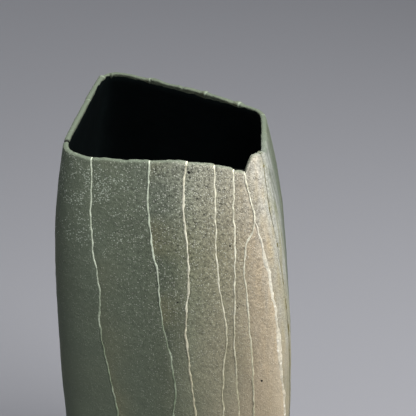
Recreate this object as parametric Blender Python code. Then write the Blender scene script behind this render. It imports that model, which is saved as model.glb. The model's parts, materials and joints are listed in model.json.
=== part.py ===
"""Hand-built stoneware vase.

Strips of clay stand on a base slab, edge to edge, and lean out to a belly and in to a small mouth.
A blade of pale slip fills each joint between two strips. At the front right corner the joint forks
round a narrow gore. A coil of clay reinforces the angle between wall and floor, and a dark glaze
lines the inside. Metres, +Z up, front towards -Y, origin at the middle of the resting face's box.
"""

import math
from collections import namedtuple

import bmesh
import bpy
import numpy as np

# ---------------------------------------------------------------- driving dimensions

HEIGHT = 0.284  # resting face to the highest point of the rim plane
RIM_TILT = 0.05  # fall of the rim plane per metre towards the front right

SLAB_THICKNESS = 0.0042  # wall strips, below the lip
LIP_THICKNESS = 0.0028  # wall strips, at the rim
LIP_TAPER = 0.045  # depth below the rim where the strips reach their full thickness

BASE_THICKNESS = 0.0060
FOOT_BEVEL = 0.0012

JOINT_WIDTH = 0.0009  # pale slip between two strips
JOINT_SET_BACK = 0.0002  # slip below the strips' outer face and rim
COIL_RADIUS = 0.0080  # hollow curve of the coil in the angle of wall and floor
COIL_EDGE = 0.0006  # blunt edges of the coil
GLAZE_THICKNESS = 0.0008
GLAZE_BELOW_RIM = 0.0030
GLAZE_FLOOR_STEP = 0.0020  # run-out of the glaze from the coil on to the floor
CLEARANCE = 0.0003  # between pieces that touch

FORK_SHARE = 0.885  # height of the fork in the corner joint, as a share of the vase's height
FORK_SHOULDER = 0.0040  # height over which the strip beside the fork steps back round it
POINT_WIDTH = 0.0005  # blunt points of the gore and of the slip at the fork

WANDER = 0.0005  # sideways wander of a joint cut by hand
WANDER_PITCH = 0.090  # height of one wave of it
WANDER_STAGGER = 0.37  # share of a wave between one joint and the next

# The vase in plan is four soft sides, each a distance from the axis, and facing an angle from +X
# at the belly and at the mouth.
Side = namedtuple("Side", "belly_facing mouth_facing foot belly mouth belly_height")
FRONT = Side(-88.8, -85.8, foot=0.0390, belly=0.0490, mouth=0.0418, belly_height=0.160)
RIGHT = Side(9.8, 7.5, foot=0.0450, belly=0.0560, mouth=0.0410, belly_height=0.150)
BACK = Side(77.0, 69.4, foot=0.0450, belly=0.0555, mouth=0.0382, belly_height=0.165)
LEFT = Side(183.4, 181.4, foot=0.0500, belly=0.0612, mouth=0.0532, belly_height=0.180)
SIDES = (FRONT, RIGHT, BACK, LEFT)
CLOSING_POWER = 2.4  # how late the sides turn in above the belly
OPENING_POWER = 2.0  # the same below it
TURNING_DEPTH = 0.140  # depth below the rim where a side reaches its belly facing

# How square each corner is, at the angle where it stands: 2 would be an ellipse.
Corner = namedtuple("Corner", "angle squareness")
CORNERS = (Corner(-140, 6.6), Corner(-38, 7.5), Corner(36, 11.0), Corner(133, 6.0))

# Joints in order round the vase, each a path of angles at chosen shares of the height, foot to rim.
# A strip stands between each joint and the next. Its lifts are how far its rim stands above the rim
# plane, in millimetres, evenly from its first corner to its last.
Joint = namedtuple("Joint", "name path strip lifts")
JOINTS = (
    Joint("front_left", ((0, -146), (0.5, -149), (1, -151)), "wall_front_left", (0.2, -0.8)),
    Joint(
        "front_1",
        ((0, -114), (0.5, -117.5), (0.58, -121), (0.66, -123.5), (0.74, -123), (0.82, -126), (1, -128.5)),
        "wall_front_1",
        (-0.8, 0.0),
    ),
    Joint(
        "front_2",
        ((0, -87), (0.5, -85.5), (0.55, -84), (0.67, -90), (0.77, -94.5), (0.88, -99), (1, -99.5)),
        "wall_front_2",
        (-0.2, 1.3),
    ),
    Joint(
        "front_3",
        ((0, -69), (0.5, -72), (0.68, -78), (0.8, -75), (0.86, -76.5), (0.92, -78.5), (1, -77)),
        "wall_front_3",
        (0.8, 0.6),
    ),
    Joint(
        "front_4",
        ((0, -59), (0.5, -58.5), (0.57, -59), (0.65, -57), (0.7, -57), (0.77, -60), (0.92, -61), (1, -60)),
        "wall_front_4",
        (0.1, -0.6),
    ),
    Joint(
        "front_5",
        ((0, -50), (0.5, -52), (0.76, -53.5), (0.84, -52.5), (1, -50.5)),
        "wall_front_5",
        (-1.4, -2.2),
    ),
    Joint(
        "corner",
        ((0, -43.5), (0.5, -46), (0.7, -48), (0.84, -47.4), (FORK_SHARE, -44), (0.95, -46.8), (1, -46.8)),
        "corner_gore",
        (0.0, 0.0),
    ),
    Joint(
        "gore_right",
        ((0, -36), (0.5, -35), (0.58, -36.5), (0.65, -37), (0.77, -40), (FORK_SHARE, -44)),
        "wall_right_1",
        (-1.8, 4.6, 5.6, 4.8),
    ),
    Joint(
        "right_1",
        ((0, -22), (0.5, -28), (0.7, -31.5), (0.82, -34), (0.94, -36), (1, -34.5)),
        "wall_right_2",
        (4.8, 0.9, 0.2, 0.3),
    ),
    Joint("right_2", ((0, 6), (0.5, 3), (1, 1)), "wall_right_3", (-0.3, 0.2)),
    Joint("back_right", ((0, 36), (0.6, 33), (1, 29)), "wall_back_right", (0.0, -0.8)),
    Joint("back_1", ((0, 56), (0.5, 58), (1, 52)), "wall_back_1", (-0.4, 0.6)),
    Joint("back_2", ((0, 84), (0.5, 80), (1, 82)), "wall_back_2", (1.1, 0.3)),
    Joint("back_3", ((0, 112), (0.5, 110), (1, 117)), "wall_back_left", (-0.2, -1.0)),
    Joint("back_left", ((0, 137), (0.5, 140), (1, 138)), "wall_left_1", (-0.6, 0.2)),
    Joint("left_1", ((0, 170), (0.5, 166), (1, 162)), "wall_left_2", (-0.3, 0.0)),
)
CORNER_JOINT = next(i for i, joint in enumerate(JOINTS) if joint.name == "corner")
GORE_RIGHT_JOINT = CORNER_JOINT + 1

# Finishes, in display values of 0 to 255.
SAND = (170, 157, 134)
GREY_GREEN = (82, 90, 78)
PALE_SLIP = (205, 204, 184)
BARE_CLAY = (158, 140, 116)
DARK_GLAZE = (12, 18, 19)
WARM_ANGLE = -25  # where the clay is sandiest, in degrees

# Fineness of the faceted solids.
LEVEL_SPACING = 0.0160
COLUMN_LENGTH = 0.0190  # a column spans about this much girth on a flat side
COLUMN_TURN = math.radians(22)  # or this much turn at a corner
COIL_STEPS = 4
SHARP_EDGE = math.radians(35)
ALL_ROUND = np.linspace(-math.pi, math.pi, 721)  # half a degree apart, for measuring the plan
ALL_UP = np.linspace(0, HEIGHT, 143)  # 2 mm apart, for the same
FINE_COLUMNS = 60  # for measuring a piece before its columns are spread
ANGLE_STEP = 1e-3  # for slopes along the plan
MM = 0.001

# ---------------------------------------------------------------- the surface of the vase


def smooth_between(points, at):
    """Smooth curve through (place, value) points, level with its neighbours' slope at each."""
    places, values = (np.array(column, float) for column in zip(*points))
    slopes = np.gradient(values, places)
    i = np.clip(np.searchsorted(places, at) - 1, 0, len(places) - 2)
    span = places[i + 1] - places[i]
    t = np.clip((at - places[i]) / span, 0, 1)
    return (
        (1 + 2 * t) * (1 - t) ** 2 * values[i]
        + t * (1 - t) ** 2 * span * slopes[i]
        + t**2 * (3 - 2 * t) * values[i + 1]
        + t**2 * (t - 1) * span * slopes[i + 1]
    )


def squareness(angle):
    """Squareness of the plan at an angle, eased from each corner to the next."""
    angles = np.radians([corner.angle for corner in CORNERS])
    values = [corner.squareness for corner in CORNERS]
    turned = (angle - angles[0]) % math.tau
    starts = np.append(angles - angles[0], math.tau)
    i = np.clip(np.searchsorted(starts, turned, side="right") - 1, 0, len(values) - 1)
    t = (turned - starts[i]) / (starts[i + 1] - starts[i])
    ease = (1 - np.cos(math.pi * t)) / 2
    values = np.append(values, values[0])
    return values[i] + (values[i + 1] - values[i]) * ease


def side_at(side, z):
    """Distance and facing of one side at a height."""
    above = np.clip((z - side.belly_height) / (HEIGHT - side.belly_height), 0, None)
    below = np.clip((side.belly_height - z) / side.belly_height, 0, None)
    distance = (
        side.belly
        - (side.belly - side.mouth) * above**CLOSING_POWER
        - (side.belly - side.foot) * below**OPENING_POWER
    )
    turned = np.clip((HEIGHT - z) / TURNING_DEPTH, 0, 1)
    return distance, np.radians(side.mouth_facing + (side.belly_facing - side.mouth_facing) * turned)


def plan(angle, z):
    """Point of the outer face at an angle and height, measured from the axis."""
    power = squareness(angle)
    total = 0
    for side in SIDES:
        distance, facing = side_at(side, z)
        turned_to = np.clip(np.cos(angle - facing), 0, None)  # a side behind the angle plays no part
        total = total + (turned_to / distance) ** power
    radius = total ** (-1 / power)
    return np.stack([radius * np.cos(angle), radius * np.sin(angle)], axis=-1)


def box_centre():
    """Middle of the vase's box in plan, which becomes the origin."""
    angle, z = np.meshgrid(ALL_ROUND, ALL_UP)
    points = plan(angle, z).reshape(-1, 2)
    return (points.min(axis=0) + points.max(axis=0)) / 2


def rim_height(point):
    """Height of the rim plane over a point measured from the axis: highest at the back left."""
    return HEIGHT - RIM_TILT * (RIM_HIGH - towards_back_left(point))


def towards_back_left(point):
    return (point[..., 1] - point[..., 0]) / math.sqrt(2)


def thickness(angle, z):
    """Thickness of the wall: a full slab below, thinned towards the lip."""
    below_rim = rim_height(plan(angle, z)) - z
    share = np.clip(below_rim / LIP_TAPER, 0, 1)
    return LIP_THICKNESS + (SLAB_THICKNESS - LIP_THICKNESS) * share


def along_plan(angle, z):
    """Short run along the plan, from just before an angle to just after it."""
    return plan(angle + ANGLE_STEP, z) - plan(angle - ANGLE_STEP, z)


def girth_rate(angle, z):
    """Metres of girth for each radian of angle."""
    return np.linalg.norm(along_plan(angle, z), axis=-1) / (2 * ANGLE_STEP)


def inside_plan(angle, z, depth):
    """Point that far inside the outer face, straight in from it, measured from the axis."""
    along = along_plan(angle, z)
    outward = np.stack([along[..., 1], -along[..., 0]], axis=-1)
    outward /= np.linalg.norm(outward, axis=-1, keepdims=True)
    return plan(angle, z) - outward * np.expand_dims(depth, -1)


def placed(flat, z):
    """Points measured from the axis, moved to the origin and given their height."""
    heights = np.broadcast_to(z, flat.shape[:-1])
    return np.concatenate([flat - CENTRE, heights[..., None]], axis=-1)


CENTRE = box_centre()
RIM_HIGH = towards_back_left(plan(ALL_ROUND, HEIGHT)).max()
RIM_LOW = rim_height(plan(ALL_ROUND, HEIGHT)).min()
FLOOR = BASE_THICKNESS
FORK = FORK_SHARE * HEIGHT
LOWEST_LIFT = min(min(joint.lifts) for joint in JOINTS) * MM

# ---------------------------------------------------------------- joints and what stands between


def joint_edges(index, z):
    """Angles of the two edges of the slip in a joint."""
    middle = math.radians(smooth_between(JOINTS[index].path, z / HEIGHT))
    wander = WANDER * math.sin(math.tau * (z / WANDER_PITCH + WANDER_STAGGER * index))
    middle += wander / girth_rate(middle, z)
    rate = girth_rate(middle, z)
    low, high = middle - JOINT_WIDTH / 2 / rate, middle + JOINT_WIDTH / 2 / rate
    if index == GORE_RIGHT_JOINT:
        low = max(low, joint_edges(CORNER_JOINT, z)[1] + CLEARANCE / rate)
        high = max(high, low + POINT_WIDTH / rate)
    return low, high


def strip_edges(index, z):
    """Angles of the two edges of the strip that follows a joint."""
    before, after = index, (index + 1) % len(JOINTS)
    if before == GORE_RIGHT_JOINT and z > FORK:
        before = CORNER_JOINT
    low = joint_edges(before, z)[1]
    high = joint_edges(after, z)[0] + (math.tau if after == 0 else 0)
    return low + CLEARANCE / girth_rate(low, z), high - CLEARANCE / girth_rate(high, z)


def gore_top():
    """Highest level where the gore is wider than its blunt point."""
    for z in np.arange(FORK, 0, -POINT_WIDTH):
        low, high = strip_edges(CORNER_JOINT, z)
        if high - low >= POINT_WIDTH / girth_rate(low, z):
            return z
    raise ValueError("the gore has no room below the fork")


def rim_lifts(index):
    """Lifts in metres of the rim of the strip that follows a joint."""
    return np.array(JOINTS[index].lifts) * MM


def even_levels(low, high):
    return np.linspace(low, high, math.ceil((high - low) / LEVEL_SPACING) + 1)


GORE_TOP = gore_top()
WALL_FOOT = FLOOR + CLEARANCE
LAST_LEVEL = RIM_LOW + LOWEST_LIFT - 2 * GLAZE_BELOW_RIM
LEVELS = np.unique([*even_levels(WALL_FOOT, LAST_LEVEL), GORE_TOP, FORK, FORK + FORK_SHOULDER])


def spread(low, high, z, count):
    """Angles from low to high, closer together where the plan turns."""
    fine, travelled = columns_travelled(low, high, z)
    return np.interp(np.linspace(0, travelled[-1], count + 1), travelled, fine)


def columns_travelled(low, high, z):
    """Fine angles from low to high, and how many columns are called for up to each."""
    fine = np.linspace(low, high, FINE_COLUMNS)
    run = np.diff(plan(fine, z), axis=0)
    length = np.linalg.norm(run, axis=1)
    turn = np.abs(np.diff(np.unwrap(np.arctan2(run[:, 1], run[:, 0]))))
    called_for = length / COLUMN_LENGTH + np.append(turn, turn[-1]) / COLUMN_TURN
    return fine, np.append(0, np.cumsum(called_for))


def rim_over(angles, lifts):
    """Height of a piece's rim over its angles, lifted by metres evenly from its first corner to its last."""
    places = np.linspace(0, len(lifts) - 1, len(angles))
    return rim_height(plan(angles, HEIGHT)) + np.interp(places, np.arange(len(lifts)), lifts)


# ---------------------------------------------------------------- making solids


def srgb(*channels):
    """Linear colour from display values of 0 to 255."""
    shares = [channel / 255 for channel in channels]
    return tuple(c / 12.92 if c <= 0.04045 else ((c + 0.055) / 1.055) ** 2.4 for c in shares)


def material(name, colour, roughness):
    made = bpy.data.materials.new(name)
    made.use_nodes = True
    shader = made.node_tree.nodes["Principled BSDF"]
    shader.inputs["Base Color"].default_value = (*colour, 1)
    shader.inputs["Roughness"].default_value = roughness
    shader.inputs["Metallic"].default_value = 0
    return made


def clay_colour(angle):
    """Sandy near the front right corner, and grey-green away from it."""
    sand, grey_green = np.array(srgb(*SAND)), np.array(srgb(*GREY_GREEN))
    towards_corner = math.cos(angle - math.radians(WARM_ANGLE))
    return grey_green + (sand - grey_green) * (1 + towards_corner) / 2


def skin(name, rings, finish, ends):
    """Closed solid over rings of points: each ring is joined to the next.

    ends says how it closes: "ladder" bridges a ring's two halves, "flat" fills the ring with one
    face, and "round" joins the last ring to the first.
    """
    shape = bmesh.new()
    verts = [[shape.verts.new(point) for point in ring] for ring in rings]
    size = len(rings[0])
    pairs = list(zip(verts, verts[1:]))
    if ends == "round":
        pairs.append((verts[-1], verts[0]))
    for lower, upper in pairs:
        for i in range(size - 1):
            shape.faces.new((lower[i], lower[i + 1], upper[i + 1], upper[i]))
        # Started one corner on, so that the facing sides of two neighbours bend along one diagonal.
        shape.faces.new((lower[0], upper[0], upper[-1], lower[-1]))
    if ends == "flat":
        shape.faces.new(verts[0][::-1])
        shape.faces.new(verts[-1])
    if ends == "ladder":
        for i in range(size // 2 - 1):
            j = size - 1 - i
            shape.faces.new((verts[0][j], verts[0][j - 1], verts[0][i + 1], verts[0][i]))
            shape.faces.new((verts[-1][i], verts[-1][i + 1], verts[-1][j - 1], verts[-1][j]))
    mesh = bpy.data.meshes.new(name)
    shape.to_mesh(mesh)
    shape.free()
    mesh.shade_smooth()
    mesh.set_sharp_from_angle(angle=SHARP_EDGE)
    mesh.materials.append(finish)
    made = bpy.data.objects.new(name, mesh)
    bpy.context.scene.collection.objects.link(made)
    return made


def wall_ring(angles, z, set_back):
    """Ring of points round a piece of wall: along its outer face, back along its inner face."""
    outer = inside_plan(angles, z, set_back)
    inner = inside_plan(angles, z, thickness(angles, z))
    return np.concatenate([placed(outer, z), placed(inner, z)[::-1]])


def make_strip(index):
    """One strip of clay, from the base slab to the rim. The gore ends in a point below the fork."""
    joint = JOINTS[index]
    levels = LEVELS[LEVELS <= GORE_TOP] if index == CORNER_JOINT else LEVELS
    columns = max(columns_travelled(*strip_edges(index, z), z)[1][-1] for z in levels)
    columns = max(1, round(columns))
    rings = [wall_ring(spread(*strip_edges(index, z), z, columns), z, 0) for z in levels]
    if index != CORNER_JOINT:
        angles = spread(*strip_edges(index, RIM_LOW), RIM_LOW, columns)
        rings.append(wall_ring(angles, rim_over(angles, rim_lifts(index)), 0))
    finish = material(joint.strip, clay_colour(sum(strip_edges(index, levels[0])) / 2), 0.85)
    skin(joint.strip, rings, finish, "ladder")


def make_slip(index):
    """The blade of pale slip in one joint. The blade right of the gore ends at the fork."""
    levels = LEVELS[LEVELS <= FORK] if index == GORE_RIGHT_JOINT else LEVELS
    rings = [wall_ring(np.array(joint_edges(index, z)), z, JOINT_SET_BACK) for z in levels]
    if index != GORE_RIGHT_JOINT:
        angles = np.array(joint_edges(index, RIM_LOW))
        strip_after = GORE_RIGHT_JOINT if index == CORNER_JOINT else index
        lift = min(rim_lifts(index - 1)[-1], rim_lifts(strip_after)[0]) - JOINT_SET_BACK
        rings.append(wall_ring(angles, rim_over(angles, (lift,)), JOINT_SET_BACK))
    name = "slip_" + JOINTS[index].name
    skin(name, rings, material(name, srgb(*PALE_SLIP), 0.8), "ladder")


def round_angles():
    """Angles right round the vase, for the pieces that go round it whole."""
    z = HEIGHT / 2
    columns = round(columns_travelled(-math.pi, math.pi, z)[1][-1])
    return spread(-math.pi, math.pi, z, columns)[:-1]


def make_base():
    """The slab that the strips stand on, with a small bevel round the foot."""
    angles = round_angles()
    section = ((FOOT_BEVEL, 0), (0, FOOT_BEVEL), (0, FLOOR))
    rings = [placed(inside_plan(angles, z, depth), z) for depth, z in section]
    skin("base_slab", rings, material("base_slab", srgb(*BARE_CLAY), 0.9), "flat")


def hollow_curve(extra):
    """Depth and height points up the hollow curve of the coil, moved out of the coil by extra."""
    centre_depth = SLAB_THICKNESS + CLEARANCE + COIL_EDGE + COIL_RADIUS
    centre_height = FLOOR + CLEARANCE + COIL_EDGE + COIL_RADIUS
    radius = COIL_RADIUS - extra
    turns = np.linspace(math.pi / 2, 0, COIL_STEPS + 1)
    return [(centre_depth - radius * math.cos(t), centre_height - radius * math.sin(t)) for t in turns]


def floor_point(angle, z, depth):
    """Point over the floor, drawn in from the wall's inner face towards the axis."""
    reach = min(side.foot for side in SIDES) - SLAB_THICKNESS
    wall = inside_plan(angle, z, SLAB_THICKNESS)
    return placed(wall * (1 - (depth - SLAB_THICKNESS) / reach), z)


def make_coil():
    """The coil pressed into the angle of wall and floor, hollowed by the finger that smoothed it."""
    against_wall = SLAB_THICKNESS + CLEARANCE
    on_floor = FLOOR + CLEARANCE
    curve = hollow_curve(0)
    section = [(against_wall, on_floor), (curve[0][0], on_floor), *curve, (against_wall, curve[-1][1])]
    rings = [[floor_point(angle, z, depth) for depth, z in section] for angle in round_angles()]
    skin("floor_coil", rings, material("floor_coil", srgb(*BARE_CLAY), 0.9), "round")


def glaze_face(extra):
    """Rings from the floor up the coil and the wall to the glaze's top, extra inside the clay."""
    angles = round_angles()
    curve = hollow_curve(extra)
    floor_edge = (curve[0][0] + GLAZE_FLOOR_STEP, FLOOR + extra)
    rings = [floor_point(angles, z, depth) for depth, z in [floor_edge, *curve]]
    top = rim_over(angles, (-GLAZE_BELOW_RIM,))
    for z in [*LEVELS[LEVELS > curve[-1][1] + LEVEL_SPACING / 4], top]:
        rings.append(placed(inside_plan(angles, z, thickness(angles, z) + extra), z))
    return rings


def make_glaze():
    """The glaze that lines the inside."""
    rings = glaze_face(CLEARANCE) + glaze_face(CLEARANCE + GLAZE_THICKNESS)[::-1]
    skin("glaze_liner", rings, material("glaze_liner", srgb(*DARK_GLAZE), 0.15), "flat")


# ---------------------------------------------------------------- the vase


def clear_scene():
    for thing in list(bpy.data.objects):
        bpy.data.objects.remove(thing, do_unlink=True)


def main():
    clear_scene()
    make_base()
    for index in range(len(JOINTS)):
        make_strip(index)
        make_slip(index)
    make_coil()
    make_glaze()


main()
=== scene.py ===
"""Looks of the hand-built stoneware vase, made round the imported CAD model.

Every strip of clay, line of slip, and the lining is one fine mesh worked out from the same curves as
the CAD model. Metres, +Z up, front towards -Y.
"""

import itertools
import json
import math
from collections import namedtuple

import bpy
import numpy as np
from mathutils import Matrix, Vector


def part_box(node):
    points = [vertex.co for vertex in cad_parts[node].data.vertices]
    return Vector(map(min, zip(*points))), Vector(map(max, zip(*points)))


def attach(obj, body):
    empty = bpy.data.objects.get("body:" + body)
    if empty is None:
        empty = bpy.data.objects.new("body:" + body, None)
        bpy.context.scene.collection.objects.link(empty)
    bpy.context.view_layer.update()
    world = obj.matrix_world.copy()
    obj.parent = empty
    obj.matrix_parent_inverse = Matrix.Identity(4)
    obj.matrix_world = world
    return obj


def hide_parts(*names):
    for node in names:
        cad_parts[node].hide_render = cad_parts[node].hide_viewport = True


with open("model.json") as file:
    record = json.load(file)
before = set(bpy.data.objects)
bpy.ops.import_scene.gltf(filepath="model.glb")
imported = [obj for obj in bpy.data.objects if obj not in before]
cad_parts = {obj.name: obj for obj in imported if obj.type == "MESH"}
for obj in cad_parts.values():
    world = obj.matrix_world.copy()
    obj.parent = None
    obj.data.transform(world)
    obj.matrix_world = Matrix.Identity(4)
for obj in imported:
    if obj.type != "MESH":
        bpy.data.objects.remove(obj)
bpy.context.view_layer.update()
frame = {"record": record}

MM = 0.001

# ---------------------------------------------------------------- sizes shared with the CAD model

HEIGHT = 0.284  # resting face to the highest point of the rim plane
RIM_TILT = 0.05  # fall of the rim plane per metre towards the front right
SLAB_THICKNESS = 0.0042
LIP_THICKNESS = 0.0028
LIP_TAPER = 0.045  # depth below the rim where the strips reach their full thickness
BASE_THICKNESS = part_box("base_slab")[1].z
COIL_RADIUS = 0.0080
COIL_EDGE = 0.0006
CLEARANCE = 0.0003
FORK_SHARE = 0.885
WANDER = 0.0005
WANDER_PITCH = 0.090
WANDER_STAGGER = 0.37

Side = namedtuple("Side", "belly_facing mouth_facing foot belly mouth belly_height")
SIDES = (
    Side(-88.8, -85.8, foot=0.0390, belly=0.0490, mouth=0.0418, belly_height=0.160),
    Side(9.8, 7.5, foot=0.0450, belly=0.0560, mouth=0.0410, belly_height=0.150),
    Side(77.0, 69.4, foot=0.0450, belly=0.0555, mouth=0.0382, belly_height=0.165),
    Side(183.4, 181.4, foot=0.0500, belly=0.0612, mouth=0.0532, belly_height=0.180),
)
CLOSING_POWER = 2.4
OPENING_POWER = 2.0
TURNING_DEPTH = 0.140
Corner = namedtuple("Corner", "angle squareness")
CORNERS = (Corner(-140, 6.6), Corner(-38, 7.5), Corner(36, 11.0), Corner(133, 6.0))

# Joints in order round the vase: the path of each as (share of height, angle), the strip after it, how
# far that strip's rim stands above the rim plane, evenly from its first corner to its last, and what is
# added to its share of sandy colour. Then the joint's line of slip: half its width, how proud it
# stands, its finish, and how far a knob of it stands on the lip. Millimetres and degrees.
Joint = namedtuple(
    "Joint", "name path strip lifts tone half_width pride finish knob", defaults=(0, 0.38, 0.06, "dull", 0)
)
JOINTS = (
    Joint("front_left", ((0, -146), (0.5, -149), (1, -151)), "front_left", (0.2, -0.8),
          tone=-0.03, half_width=0.36, pride=0.05, finish="green"),
    Joint("front_1",
          ((0, -114), (0.5, -117.5), (0.58, -121), (0.66, -123.5), (0.74, -123), (0.82, -126),
           (1, -128.5)),
          "front_1", (-0.8, 0.0), pride=0.04, finish="green"),
    Joint("front_2",
          ((0, -87), (0.5, -85.5), (0.55, -84), (0.67, -90), (0.77, -94.5), (0.88, -99), (1, -99.5)),
          "front_2", (-0.2, 1.3), tone=-0.01, half_width=0.40, finish="green"),
    Joint("front_3",
          ((0, -69), (0.5, -72), (0.68, -78), (0.8, -75), (0.86, -76.5), (0.92, -78.5), (1, -77)),
          "front_3", (0.8, 0.6), tone=0.03, half_width=0.47, pride=0.10, finish="cream"),
    Joint("front_4",
          ((0, -59), (0.5, -58.5), (0.57, -59), (0.65, -57), (0.7, -57), (0.77, -60), (0.92, -61),
           (1, -60)),
          "front_4", (0.1, -0.6), tone=0.01, half_width=0.44, pride=0.10, finish="cream"),
    Joint("front_5", ((0, -50), (0.5, -52), (0.76, -53.5), (0.84, -52.5), (1, -50.5)),
          "front_5", (-1.4, -2.2), tone=0.03, half_width=0.40, pride=0.08, finish="cream"),
    Joint("corner",
          ((0, -43.5), (0.5, -46), (0.7, -48), (0.84, -47.4), (FORK_SHARE, -44), (0.95, -46.8),
           (1, -46.8)),
          "gore", (0.0, 0.0), tone=0.1, half_width=0.44, pride=0.10, finish="cream"),
    # Real slip, widened and made pale as a painted highlight where the corner edge catches the light.
    Joint("gore_right",
          ((0, -36), (0.5, -35), (0.58, -36.5), (0.65, -37), (0.77, -40), (FORK_SHARE, -44)),
          "right_1", (-1.8, 4.6, 5.6, 4.8), tone=-0.05, half_width=1.05, pride=0.05, finish="slip_and_highlight"),
    Joint("right_1", ((0, -22), (0.5, -28), (0.7, -31.5), (0.82, -34), (0.94, -36), (1, -34.5)),
          "right_2", (4.8, 0.9, 0.2, 0.3), tone=-0.05, half_width=0.80, pride=-0.34, finish="ochre"),
    Joint("right_2", ((0, 6), (0.5, 3), (1, 1)), "right_3", (-0.3, 0.2), half_width=0.34, pride=0.02),
    Joint("back_right", ((0, 36), (0.6, 33), (1, 29)), "back_right", (0.0, -0.8)),
    Joint("back_1", ((0, 56), (0.5, 58), (1, 52)), "back_1", (-0.4, 0.6), pride=0.08, knob=0.9),
    Joint("back_2", ((0, 84), (0.5, 80), (1, 82)), "back_2", (1.1, 0.3),
          tone=0.02, pride=0.08, knob=0.7),
    Joint("back_3", ((0, 112), (0.5, 110), (1, 117)), "back_left", (-0.2, -1.0), knob=0.8),
    Joint("back_left", ((0, 137), (0.5, 140), (1, 138)), "left_1", (-0.6, 0.2), tone=-0.02, knob=0.8),
    Joint("left_1", ((0, 170), (0.5, 166), (1, 162)), "left_2", (-0.3, 0.0), tone=0.02),
)
CORNER_JOINT = next(i for i, joint in enumerate(JOINTS) if joint.name == "corner")
GORE_RIGHT_JOINT = CORNER_JOINT + 1
CRACKED_JOINT = 0  # open at the rim
LAST_JOINT = len(JOINTS) - 1
NUB_STRIP = next(i for i, joint in enumerate(JOINTS) if joint.strip == "back_left")

# ---------------------------------------------------------------- the surface of the vase

ALL_ROUND = np.linspace(-math.pi, math.pi, 721)  # for measuring the plan
ALL_UP = np.linspace(0, HEIGHT, 143)
ANGLE_STEP = 1e-3  # for slopes along the plan


def smooth_between(points, at):
    """Smooth curve through (place, value) points."""
    places, values = (np.array(column, float) for column in zip(*points))
    slopes = np.gradient(values, places)
    i = np.clip(np.searchsorted(places, at) - 1, 0, len(places) - 2)
    span = places[i + 1] - places[i]
    t = np.clip((at - places[i]) / span, 0, 1)
    return (
        (1 + 2 * t) * (1 - t) ** 2 * values[i]
        + t * (1 - t) ** 2 * span * slopes[i]
        + t**2 * (3 - 2 * t) * values[i + 1]
        + t**2 * (t - 1) * span * slopes[i + 1]
    )


def squareness(angle):
    """Squareness of the plan at an angle, eased from each corner to the next."""
    angles = np.radians([corner.angle for corner in CORNERS])
    values = [corner.squareness for corner in CORNERS]
    turned = (angle - angles[0]) % math.tau
    starts = np.append(angles - angles[0], math.tau)
    i = np.clip(np.searchsorted(starts, turned, side="right") - 1, 0, len(values) - 1)
    t = (turned - starts[i]) / (starts[i + 1] - starts[i])
    values = np.append(values, values[0])
    return values[i] + (values[i + 1] - values[i]) * (1 - np.cos(math.pi * t)) / 2


def side_at(side, z):
    """Distance and facing of one side at a height."""
    above = np.clip((z - side.belly_height) / (HEIGHT - side.belly_height), 0, None)
    below = np.clip((side.belly_height - z) / side.belly_height, 0, None)
    distance = (
        side.belly
        - (side.belly - side.mouth) * above**CLOSING_POWER
        - (side.belly - side.foot) * below**OPENING_POWER
    )
    turned = np.clip((HEIGHT - z) / TURNING_DEPTH, 0, 1)
    return distance, np.radians(side.mouth_facing + (side.belly_facing - side.mouth_facing) * turned)


def plan(angle, z):
    """Point of the outer face at an angle and height, measured from the axis."""
    power = squareness(angle)
    total = 0
    for side in SIDES:
        distance, facing = side_at(side, z)
        total = total + (np.clip(np.cos(angle - facing), 0, None) / distance) ** power
    radius = total ** (-1 / power)
    return np.stack([radius * np.cos(angle), radius * np.sin(angle)], axis=-1)


def towards_back_left(point):
    """How far a point lies towards the back left, where the rim plane is highest."""
    return (point[..., 1] - point[..., 0]) / math.sqrt(2)


def box_centre():
    """Middle of the plan's box, over its whole height."""
    angle, z = np.meshgrid(ALL_ROUND, ALL_UP)
    points = plan(angle, z).reshape(-1, 2)
    return (points.min(axis=0) + points.max(axis=0)) / 2


CENTRE = box_centre()
RIM_HIGH = towards_back_left(plan(ALL_ROUND, HEIGHT)).max()


def rim_height(point):
    """Height of the tilted rim plane over a point of the plan."""
    return HEIGHT - RIM_TILT * (RIM_HIGH - towards_back_left(point))


RIM_LOW = rim_height(plan(ALL_ROUND, HEIGHT)).min()
FORK = FORK_SHARE * HEIGHT


def thickness(angle, z):
    """Thickness of the wall, which thins towards the lip."""
    below_rim = rim_height(plan(angle, z)) - z
    share = np.clip(below_rim / LIP_TAPER, 0, 1)
    return LIP_THICKNESS + (SLAB_THICKNESS - LIP_THICKNESS) * share


def outward_at(angle, z):
    """Unit vector straight out of the outer face, and metres of girth for each radian."""
    along = plan(angle + ANGLE_STEP, z) - plan(angle - ANGLE_STEP, z)
    length = np.linalg.norm(along, axis=-1)
    outward = np.stack([along[..., 1], -along[..., 0]], axis=-1) / length[..., None]
    return outward, length / (2 * ANGLE_STEP)


def girth_rate(angle, z):
    return outward_at(angle, z)[1]


# ---------------------------------------------------------------- unevenness of hand work

# A kind of unevenness: how much, in lumps of what size, and the seed it grows from.
Lumpy = namedtuple("Lumpy", "amount size seed")
HASH_SEED, HASH_SHIFT = 974634777, 374761393
HASH_PRIMES = (73856093, 19349663, 83492791)
HASH_MIX = 1274126177
HASH_BITS = 0x7FFFFFFF


def lumps(points, size, seed):
    """Smooth unevenness from -1 to 1 over points, in lumps of about that size."""
    cells = points / size
    base = np.floor(cells).astype(np.int64)
    part = cells - base
    part = part * part * (3 - 2 * part)
    total = 0
    for corner in itertools.product((0, 1), repeat=points.shape[-1]):
        at = base + corner
        code = seed * HASH_SEED + HASH_SHIFT
        for axis, prime in zip(range(points.shape[-1]), HASH_PRIMES):
            code = code ^ (at[..., axis] * prime)
        code = (((code ^ (code >> 13)) & HASH_BITS) * HASH_MIX) & HASH_BITS
        value = ((code ^ (code >> 15)) & 0xFFFF) / 0xFFFF * 2 - 1
        total = total + value * np.prod(np.where(corner, part, 1 - part), axis=-1)
    return total


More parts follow.
